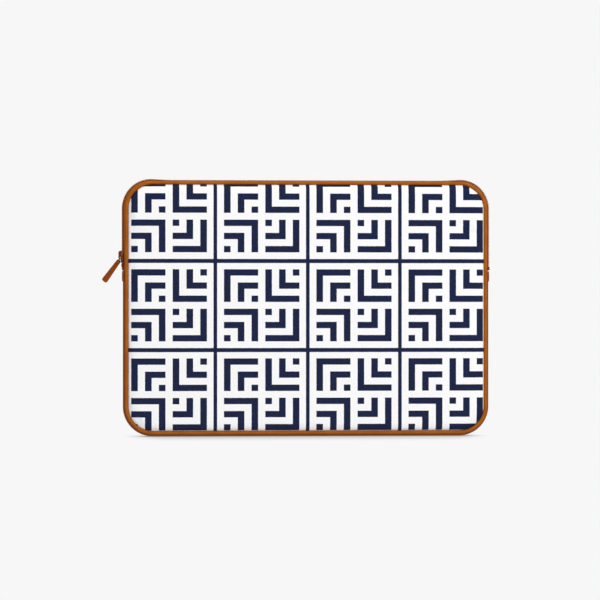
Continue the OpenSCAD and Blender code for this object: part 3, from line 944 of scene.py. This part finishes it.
def make_coil(name, side):
    """One row of the zip: a single filament wound along the tape's edge, its heads reaching past the middle."""
    s0, s1 = s_right(COIL_LOW), s_left(COIL_LOW)
    turns = int((s1 - s0) / COIL_PITCH)
    t = np.arange(turns * TURN_STEPS + 1) / TURN_STEPS
    phase = 2 * math.pi * t
    s = s0 + WIRE + t * (s1 - s0 - 2 * WIRE) / turns + (COIL_PITCH / 2 if side == FRONT else 0.0)
    s = np.clip(s, s0 + WIRE, s1 - WIRE)
    across, up = np.cos(phase), np.sin(phase)
    middle, half_w, half_h = 1.42, 1.32, 0.56  # of each turn
    y = middle + half_w * np.sign(across) * np.abs(across) ** 0.8
    d = sag(s) - half_h * np.sign(up) * np.abs(up) ** 0.7
    obj = tube(name, at_inset(s, d, side * y), WIRE, WIRE_SIDES)
    keep(dress(obj, NYLON), side, "zip_coil")


def make_coil_core(name, side):
    """The flat filler cord that the coil is wound round."""
    s = spread(s_right(COIL_LOW + 0.4), s_left(COIL_LOW + 0.4), 1.6)
    section = np.array(arc((0.0, 1.5), (0.24, 0.85), 0, 360, 12)[:-1])
    rows = section[None, :, :] + np.stack([sag(s), np.zeros_like(s)], axis=1)[:, None, :]
    bend_or_ride(dress(sweep(name, s, rows, side), TAPE), side)


def make_coil_stitching(name, side):
    """The thread that sews the coil to its tape, dipping between the turns."""
    s = spread(s_right(COIL_LOW + 1), s_left(COIL_LOW + 1), COIL_PITCH / 6)
    wave = np.cos(2 * math.pi * (s - s[0]) / COIL_PITCH)
    d = -0.86 + 0.12 * wave + sag(s)
    y = 2.05 + 0.1 * np.cos(math.pi * (s - s[0]) / COIL_PITCH)
    bend_or_ride(dress(tube(name, at_inset(s, d, side * y), 0.13, 5), TAN_THREAD), side)


def capsule(centre, along, out, length, width, height):
    """Points and faces of one stitch: a rounded bar lying along a surface."""
    centre, along, out = (np.asarray(v, float) for v in (centre, along, out))
    along = along / np.linalg.norm(along)
    out = out / np.linalg.norm(out)
    across = np.cross(along, out)
    rings, sides = 5, 8
    points = []
    for r in range(rings):
        lean = -math.pi / 2 + math.pi * (r + 0.5) / rings
        middle, girth = centre + along * (math.sin(lean) * length / 2), math.cos(lean) ** 0.5 / 2
        for a, b in arc((0, 0), (girth * width, girth * height), 0, 360, sides)[:-1]:
            points.append(middle + across * a + out * b)
    return points, bands(rings, sides) + caps(rings, sides)


def stitches(name, spots):
    """Many stitches as one piece. Each spot is (centre, direction along, direction out, length, width, height)."""
    points, faces = [], []
    for spot in spots:
        p, f = capsule(*spot)
        faces += [tuple(i + len(points) for i in face) for face in f]
        points += p
    obj = new_mesh(name, points, faces, [(0, 0)] * sum(len(f) for f in faces))
    return dress(face_outwards(obj), TAN_THREAD)


def make_patches():
    """A leather patch over each end of the zip, its edges pressed down by two rows of stitches."""
    spots = []
    low, high = PATCH
    t, seam_in, reach = 0.8, 1.2, 62  # thickness, edge to stitches, and the angle each patch reaches up the wall
    z = np.array([low, low + 0.25, low + 0.7, *np.linspace(low + 1.4, high - 1.4, 7), high - 0.7, high - 0.25, high])
    inside = wall(0, GUSSET_FLAT, -AIR, reach)
    rows = []
    for value in z:
        edge = min(value - low, high - value)
        lift = t * (0.55 + 0.45 * min(1.0, edge / 0.7) ** 0.5)
        press = 0.22 * math.exp(-(((edge - seam_in) / 0.45) ** 2))
        outside = list(reversed(wall(0, GUSSET_FLAT, -AIR - lift + press, reach)))
        rows.append(outside + mirrored(outside) + mirrored(inside) + inside)
    for side, word in ENDS:
        obj = sweep(f"end_patch_{word}_leather", s_on(side, z), rows)
        settle(dress(obj, SHADED_GUSSET_LEATHER), "shell", f"end_patch_{word}")
        for row_z in (low + seam_in, high - seam_in):
            for k in range(-3, 4):
                place = (side * (HALF_W + t - 0.1), k * 1.25, row_z)
                spots.append((place, (0, 1, 0.12), (side, 0, 0), 1.0, 0.32, 0.36))
    settle(stitches("end_patch_stitching", spots), "shell", "patch_stitches")


# ---------- slider and pull, drawn with o outwards from the left side and u up the zip ----------


def at_slider(o, y, u):
    return (-HALF_W - o, y, SLIDER_Z + u)


def prism(polygon, low, high, place):
    """A plate with a polygon outline between two heights; place turns (first, second, height) into a point."""
    k = len(polygon)
    points = [place(a, b, h) for h in (low, high) for a, b in polygon]
    faces = [tuple(range(k)), tuple(range(2 * k - 1, k - 1, -1))]
    faces += [(i, (i + 1) % k, k + (i + 1) % k, k + i) for i in range(k)]
    return points, faces


def joined(shells):
    points, faces = [], []
    for shell_points, shell_faces in shells:
        faces += [tuple(i + len(points) for i in face) for face in shell_faces]
        points += shell_points
    return points, faces


def cast(name, shells, grain, rounds, cut):
    """Melts overlapping shells into one painted casting with soft edges and cuts a hollow into it. grain is the
    mesh's step in millimetres, and rounds is how often it is smoothed."""
    obj = face_outwards(new_mesh(name, *joined(shells)))
    obj.data.transform(Matrix.Scale(1 / MM, 4))
    melt = obj.modifiers.new("melt", "REMESH")
    melt.mode = "VOXEL"
    melt.voxel_size = grain
    melt.use_smooth_shade = True
    soften = obj.modifiers.new("soften", "SMOOTH")
    soften.factor = 0.5
    soften.iterations = rounds
    evaluated(obj)
    tool = face_outwards(new_mesh("cutter", *cut))
    tool.data.transform(Matrix.Scale(1 / MM, 4))
    carve = obj.modifiers.new("carve", "BOOLEAN")
    carve.operation, carve.object = "DIFFERENCE", tool
    evaluated(obj)
    bpy.data.objects.remove(tool)
    obj.data.transform(Matrix.Scale(MM, 4))
    return dress(obj, PAINT)


def softened(name, points, faces, bevel):
    """A steel part with rounded edges."""
    obj = face_outwards(new_mesh(name, points, faces))
    soften = obj.modifiers.new("soften", "BEVEL")
    soften.width = bevel * MM
    soften.segments = 3
    soften.limit_method = "ANGLE"
    soften.angle_limit = math.radians(35)
    return dress(evaluated(obj), STEEL)


def plate_outline(length):
    """The slider plate's outline in (u, y): two round lobes at its lower, leading end, and a narrower upper end."""
    half_l, half_w = length / 2, SLIDER_W / 2
    half_n = half_w * 0.74  # at the narrow end
    lobe, tip = 2.0, 1.6
    right = [(0.7 - half_l, 0.0), (0.2 - half_l, half_w * 0.28), (-half_l, half_w * 0.5)]
    right += arc((lobe - half_l, half_w - lobe), lobe, 165, 90, 5)
    right += [(4.4 - half_l, half_w), (0.8, half_w - 0.2), (half_l - 3.2, half_n + 0.5)]
    right += arc((half_l - tip, half_n - tip), tip, 85, 5, 5)
    left = [(u, -y) for u, y in reversed(right) if abs(y) > 1e-6]
    return right + left


def box_shell(low, high):
    """A box between two corners given as (o, y, u)."""
    corners_uy = [(low[2], low[1]), (high[2], low[1]), (high[2], high[1]), (low[2], high[1])]
    return prism(corners_uy, low[0], high[0], from_top)


PLATE_LOW = COIL_D + 0.15
PLATE_TOP = PLATE_LOW + 1.05
INNER_TOP = -TAPE_D - TAPE_T - 0.3
INNER_T = 1.2
BAIL_LOW, BAIL_HIGH = 3.05 - SLIDER_L / 2, SLIDER_L / 2 - 0.35
BAIL_TOP = PLATE_TOP + 2.05
BAIL_HALF_W = 0.9
OPENING = (BAIL_LOW + 1.0, BAIL_LOW + 2.35)  # the slot the link runs in, along u
OPENING_TOP = PLATE_TOP + 1.2
POCKET = (BAIL_LOW + 1.8, BAIL_HIGH - 0.9)  # the hollow behind the slot, where the lock's spring lies, along u
WINDOW = (0.2, 1.4)  # the hole in the plate for the lock's prong, along u


def bail_outline():
    """The bail from the side, in (u, o): a cap with a round back and a slot through its lower end."""
    r, r_in = 1.7, 0.35
    foot, top, slot_top = PLATE_TOP - 0.5, BAIL_TOP - r, OPENING_TOP - r_in
    outer = arc((BAIL_LOW + r, top), r, 180, 90, 6) + arc((BAIL_HIGH - r, top), r, 90, 0, 6)
    inner = arc((OPENING[1] - r_in, slot_top), r_in, 0, 90, 2) + arc((OPENING[0] + r_in, slot_top), r_in, 90, 180, 2)
    return [(BAIL_LOW, foot), *outer, (BAIL_HIGH, foot), (OPENING[1], foot), *inner, (OPENING[0], foot)]


def from_top(u, y, o):
    return at_slider(o, y, u)


def from_side(u, o, y):
    return at_slider(o, y, u)


def make_slider():
    shells = [
        prism(plate_outline(SLIDER_L), PLATE_LOW, PLATE_TOP, from_top),
        prism(plate_outline(SLIDER_L - 1), INNER_TOP - INNER_T, INNER_TOP, from_top),
        # the wedge between the two channels
        box_shell((INNER_TOP - 0.6, -0.45, 0.8 - SLIDER_L / 2), (PLATE_TOP - 0.3, 0.45, 3.4 - SLIDER_L / 2)),
    ]
    edge, rim = SLIDER_W / 2, 0.8  # the outer plate's rims reach down beside the coil
    for low_y, high_y in ((-edge, rim - edge), (edge - rim, edge)):
        shells.append(box_shell((0.4 - TAPE_D, low_y, 2.0 - SLIDER_L / 2), (PLATE_LOW + 0.6, high_y, 1.4)))
    window = box_shell((PLATE_LOW - 0.5, -0.5, WINDOW[0]), (PLATE_TOP + 0.5, 0.5, WINDOW[1]))
    settle(cast("slider_casting", shells, 0.13, 5, window), "zip_slider", "slider_body")

    arch = prism(bail_outline(), -BAIL_HALF_W, BAIL_HALF_W, from_side)
    pocket = box_shell((PLATE_TOP - 0.6, -0.66, POCKET[0]), (OPENING_TOP - 0.02, 0.66, POCKET[1]))
    settle(cast("slider_bail_arch", [arch], 0.09, 6, pocket), "zip_slider", "slider_bail")

    leaf_l = 4.2
    leaf = []
    for along in np.linspace(0, leaf_l, 9):
        leaf.append(at_slider(PLATE_TOP + 0.17 + 0.05 * math.sin(math.pi * along / leaf_l), 0, WINDOW[0] + along))
    spring = bar_along(leaf, 0.14, 0.6, (0, 1, 0), "slider_lock_leaf")
    settle(dress(spring, STEEL), "zip_slider", "slider_lock")
    prong_uo = [  # from its tip in the window up to the hook over the leaf
        (0.35, -1.2), (0.5, -1.3), (1.1, -1.3), (1.25, -1.0), (1.25, 0.35), (1.6, 0.6),
        (1.55, 1.0), (1.2, 1.12), (-0.2, 1.12), (-0.45, 0.95), (-0.3, 0.45), (0.35, 0.25),
    ]
    points, faces = prism([(u, PLATE_TOP + o) for u, o in prong_uo], -0.4, 0.4, from_side)
    settle(softened("slider_lock_prong", points, faces, 0.08), "zip_slider")


def bar_along(path, half_t, half_w, wide, name):
    """A flat bar with rounded edges along a path; wide is the direction of its width."""
    path = np.asarray(path, float)
    wide = np.asarray(wide, float)
    n = len(path)
    ahead = np.gradient(path, axis=0)
    ahead /= np.linalg.norm(ahead, axis=1, keepdims=True)
    thick = np.cross(ahead, wide)
    thick /= np.linalg.norm(thick, axis=1, keepdims=True)
    shape = [(-1, -0.55), (-0.72, -1), (0.72, -1), (1, -0.55), (1, 0.55), (0.72, 1), (-0.72, 1), (-1, 0.55)]
    points = [path[i] + wide * half_w * a + thick[i] * half_t * b for i in range(n) for a, b in shape]
    return face_outwards(new_mesh(name, points, bands(n, len(shape)) + caps(n, len(shape))))


LINK_DIRECTION = np.array([TAB_PIVOT[0] - LINK_PIVOT[0], 0, TAB_PIVOT[2] - LINK_PIVOT[2]])
LINK_L = float(np.linalg.norm(LINK_DIRECTION))
LINK_DIRECTION = LINK_DIRECTION / LINK_L
TAB_ANGLE = math.radians(36)
TAB_DIRECTION = np.array([-math.sin(TAB_ANGLE), 0, -math.cos(TAB_ANGLE)])
TAB_SIDEWAYS = np.array([-TAB_DIRECTION[2], 0, TAB_DIRECTION[0]])
WIRE_R = 0.5
TAB_L, TAB_EYE_R, TAB_END_W, TAB_CORNER_R, TAB_T = 22.8, 2.0, 2.8, 1.9, 1.25
TAB_EDGE = 0.75  # from the tab's edge to its stitches


def on_link(along, y):
    return np.array(LINK_PIVOT) + LINK_DIRECTION * along + np.array([0, y, 0])


def on_tab(along, sideways, y):
    return np.array(TAB_PIVOT) + TAB_DIRECTION * along + TAB_SIDEWAYS * sideways + np.array([0, y, 0])


def make_link():
    half, r = TAB_T + WIRE_R + 0.3, 0.85
    corners = [(r, r - half, 180), (LINK_L - r, r - half, 270), (LINK_L - r, half - r, 0), (r, half - r, 90)]
    path = []
    for along, y, first in corners:
        path += [on_link(*spot) for spot in arc((along, y), r, first, first + 90, 7)]
    settle(dress(tube("pull_link_wire", path, WIRE_R, 14, closed=True), PAINT), "link", "pull_link")


def tab_edge():
    """The tab's outline as rows of (centre along, centre sideways, radius, normal along, normal sideways): a round
    eye, two long sides, and a far end with two round corners. Moving in by an inset shortens every radius."""
    far = TAB_L - TAB_CORNER_R
    half = TAB_END_W - TAB_CORNER_R
    side = math.degrees(math.atan2(half, far) + math.acos((TAB_EYE_R - TAB_CORNER_R) / math.hypot(far, half)))
    bends = [  # centre, radius, first and last angle, steps, and the steps of the straight run that follows
        ((0, 0), TAB_EYE_R, side, 360 - side, 22, 34),
        ((far, -half), TAB_CORNER_R, -side, 0, 9, 3),
        ((far, half), TAB_CORNER_R, 0, side, 9, 34),
    ]
    rows, runs = [], []
    for centre, r, first, last, steps, run in bends:
        rows += [(*centre, r, *normal) for normal in arc((0, 0), 1, first, last, steps)]
        runs += [1] * steps + [run]
    rows, after = np.array(rows), np.roll(rows, -1, axis=0)
    return np.array([a + (b - a) * k / run for a, b, run in zip(rows, after, runs) for k in range(run)])


# One layer of the tab in from its edge, as (inset, height): a painted edge, then a dip along the stitches.
TAB_PROFILE = [
    (0.0, 0.03), (0.0, 0.6), (0.09, 0.92), (0.28, 1.1), (0.52, 1.17), (TAB_EDGE, 1.13), (1.0, 1.19), (1.35, 1.25)
]


def make_tab():
    edge = tab_edge()
    count = len(edge)
    centre, radius, normal = edge[:, 0:2], edge[:, 2:3], edge[:, 3:5]
    outer = centre + radius * normal
    angle = np.arctan2(outer[:, 1], outer[:, 0])
    around_eye = np.stack([np.cos(angle), np.sin(angle)], axis=1)
    hole = WIRE_R + 0.1
    inner_edge = centre + (radius - TAB_PROFILE[-1][0]) * normal
    for side, cad in ((-1, "pull_tab_face"), (1, "pull_tab_back")):
        rings = [(centre + (radius - inset) * normal, height) for inset, height in TAB_PROFILE]
        rings.append((0.5 * (inner_edge + around_eye * (hole + 0.45)), TAB_T + 0.01))
        rings += [(around_eye * (hole + 0.45), TAB_T), (around_eye * (hole + 0.08), TAB_T - 0.08)]
        rings += [(around_eye * hole, TAB_T - 0.3), (around_eye * hole, 0.03)]
        points = [on_tab(along, across, side * height) for ring, height in rings for along, across in ring]
        obj = face_outwards(new_mesh(f"{cad}_leather", points, bands(len(rings), count, closed=True)))
        dress(obj, PULL_LEATHER)
        obj.data.materials.append(EDGE_PAINT)
        for polygon in obj.data.polygons[: 2 * count]:  # the first two bands, at the edge
            polygon.material_index = 1
        settle(obj, "tab", cad)
    spots = []
    lean = (TAB_END_W - TAB_EYE_R) / TAB_L
    for face in (-1, 1):
        out, height = (0, face, 0), face * (TAB_T - 0.09)
        for sideways in (-1, 1):
            for along in np.linspace(3.0, TAB_L - TAB_CORNER_R - 0.3, 9):
                across = sideways * (TAB_EYE_R + lean * along - TAB_EDGE)
                direction = TAB_DIRECTION + TAB_SIDEWAYS * (sideways * lean)
                spots.append((on_tab(along, across, height), direction, out, 1.35, 0.3, 0.3))
        for across in (-1.15, 0.0, 1.15):
            spots.append((on_tab(TAB_L - TAB_EDGE, across, height), TAB_SIDEWAYS, out, 0.8, 0.3, 0.3))
    settle(stitches("pull_tab_stitching", spots), "tab", "pull_tab_stitches")


def make_stops():
    """Metal staples closed over both rows at the two ends of the zip."""
    z = np.array([0.0, 0.12, 0.4, 1.5, 2.6, 2.88, 3.0])
    lift = np.array([0.12, 0.03, 0.0, -0.1, 0.0, 0.03, 0.12])  # of the staple's skin, at each z
    for side, word in ENDS:
        node = f"zip_stop_{word}"
        half_y = span(node, Y)[1]
        back = [(-0.15, 0), (-0.42, 0.2), (-0.5, 0.7)]  # round the staple's back: (past the coil, in from its side)
        section = [(COIL_D, half_y - 0.05)] + [(step - COIL_D, half_y - y) for step, y in back]
        section += mirrored(section) + [(COIL_D, 0.4 - half_y), (-COIL_D - 0.1, 0.42 - half_y)]
        section += [(-COIL_D - 0.1, half_y - 0.42), (COIL_D, half_y - 0.4)]
        rows = [[(d + (push if d < 0 else 0), y) for d, y in section] for push in lift]
        obj = sweep(f"{node}_staple", s_on(side, z + span(node, Z)[0]), rows)
        settle(dress(obj, PAINT), "shell", node)


# ---------- build ----------

for WORD, SIDE_SIGN, SEED in (("front", FRONT, 3.0), ("back", BACK, 17.0)):
    make_cover(f"{WORD}_printed_cover", SIDE_SIGN, SEED)
    make_foam(f"{WORD}_foam_pad", SIDE_SIGN)
    make_lining(f"{WORD}_plush_lining", SIDE_SIGN, SEED)
    make_piping(f"{WORD}_piping_bead", SIDE_SIGN, SEED)
    make_cord(f"{WORD}_piping_core", SIDE_SIGN)
    make_binding(f"{WORD}_seam_tape", SIDE_SIGN)
    make_tape(f"{WORD}_zip_tape", SIDE_SIGN)
    make_coil(f"{WORD}_zip_coil", SIDE_SIGN)
    make_coil_core(f"{WORD}_coil_cord", SIDE_SIGN)
    make_coil_stitching(f"{WORD}_coil_thread", SIDE_SIGN)
make_gusset()
make_patches()
make_stops()
make_slider()
make_link()
make_tab()


# ---------- floor, light and camera ----------

PALE = 0.930  # the floor and backdrop as the camera sees them


def make_floor():
    """A pale floor that the camera sees as one even tone, with a soft shadow that fades at the sleeve's ends."""
    half = 6000.0
    corners = [(-half, -half, 0), (half, -half, 0), (half, half, 0), (-half, half, 0)]
    floor = new_mesh("floor", corners, [(0, 1, 2, 3)], smooth=False)
    floor.location.z = -0.2 * MM
    g = Graph.of_material("floor_paper")
    near = g.node("ShaderNodeAmbientOcclusion", {"Distance": 0.09}, samples=16, only_local=False).outputs["AO"]
    x, y, _ = g.node("ShaderNodeSeparateXYZ", {0: g.place}).outputs
    out = g.math("ADD", g.math("ABSOLUTE", x), g.math("MULTIPLY", g.math("ABSOLUTE", y), 0.25))
    ends = {"Value": out, "From Min": 0.144, "From Max": 0.176, "To Min": 1.0, "To Max": 0.0}
    under = g.node("ShaderNodeMapRange", ends, interpolation_type="SMOOTHSTEP").outputs[0]
    dark = g.math("MULTIPLY", g.math("SUBTRACT", 1.0, near), under)
    shade = g.mix(dark, (1, 1, 1, 1), (0.26, 0.25, 0.24, 1))
    seen = g.node("ShaderNodeEmission", {"Color": shade, "Strength": PALE}).outputs[0]
    lit = g.node("ShaderNodeEmission", {"Color": (1, 0.99, 0.98, 1), "Strength": 0.6}).outputs[0]
    g.show(lit, seen)
    floor.data.materials.append(g.owner)


def make_world():
    """Even pale backdrop to the camera; to the sleeve, a soft room that is brighter overhead."""
    world = bpy.data.worlds.new("studio")
    bpy.context.scene.world = world
    g = Graph(world)
    direction = g.node("ShaderNodeTexCoord").outputs["Generated"]
    up = g.node("ShaderNodeSeparateXYZ", {0: direction}).outputs[2]
    room = {"Color": (1.0, 0.995, 0.985, 1), "Strength": g.spread(up, -1.0, 1.0, 0.42, 0.80)}
    seen = {"Color": (1, 1, 1, 1), "Strength": PALE}
    g.show(*(g.node("ShaderNodeBackground", inputs).outputs[0] for inputs in (room, seen)))


def area_light(name, place, target, size, power):
    light = bpy.data.lights.new(name, "AREA")
    light.shape = "RECTANGLE"
    light.size, light.size_y = size
    light.energy = power
    obj = bpy.data.objects.new(name, light)
    bpy.context.scene.collection.objects.link(obj)
    obj.location = place
    obj.rotation_euler = (Vector(target) - Vector(place)).to_track_quat("-Z", "Y").to_euler()
    obj.visible_camera = False


make_floor()
make_world()
MIDDLE = (0, 0, SLEEVE_H / 2 * MM)
area_light("front_softbox", (0.9, -2.1, 1.0), MIDDLE, (1.8, 1.4), 36)
area_light("top_softbox", (-0.2, -0.35, 1.7), MIDDLE, (1.2, 0.8), 2.5)
area_light("back_softbox", (0.3, 2.4, 1.1), MIDDLE, (1.8, 1.4), 25)

VIEW_AZIMUTH = -3.5
PICTURE_WIDTH = 0.5581  # metres across at the sleeve
CAMERA_DISTANCE = 2.6
SENSOR = 36.0
AIM = Vector((0.0, 0.0, 0.1195))
camera_data = bpy.data.cameras.new("camera")
camera_data.sensor_width = SENSOR
camera_data.lens = SENSOR * CAMERA_DISTANCE / PICTURE_WIDTH
camera_data.shift_x, camera_data.shift_y = -0.01005, 0.012
camera = bpy.data.objects.new("camera", camera_data)
bpy.context.scene.collection.objects.link(camera)
azimuth = math.radians(VIEW_AZIMUTH)
camera.location = AIM + Vector((math.sin(azimuth), -math.cos(azimuth), 0)) * CAMERA_DISTANCE
camera.rotation_euler = (AIM - camera.location).to_track_quat("-Z", "Y").to_euler()
bpy.context.scene.camera = camera

bpy.context.scene.view_settings.view_transform = "Standard"
bpy.context.scene.view_settings.look = "None"
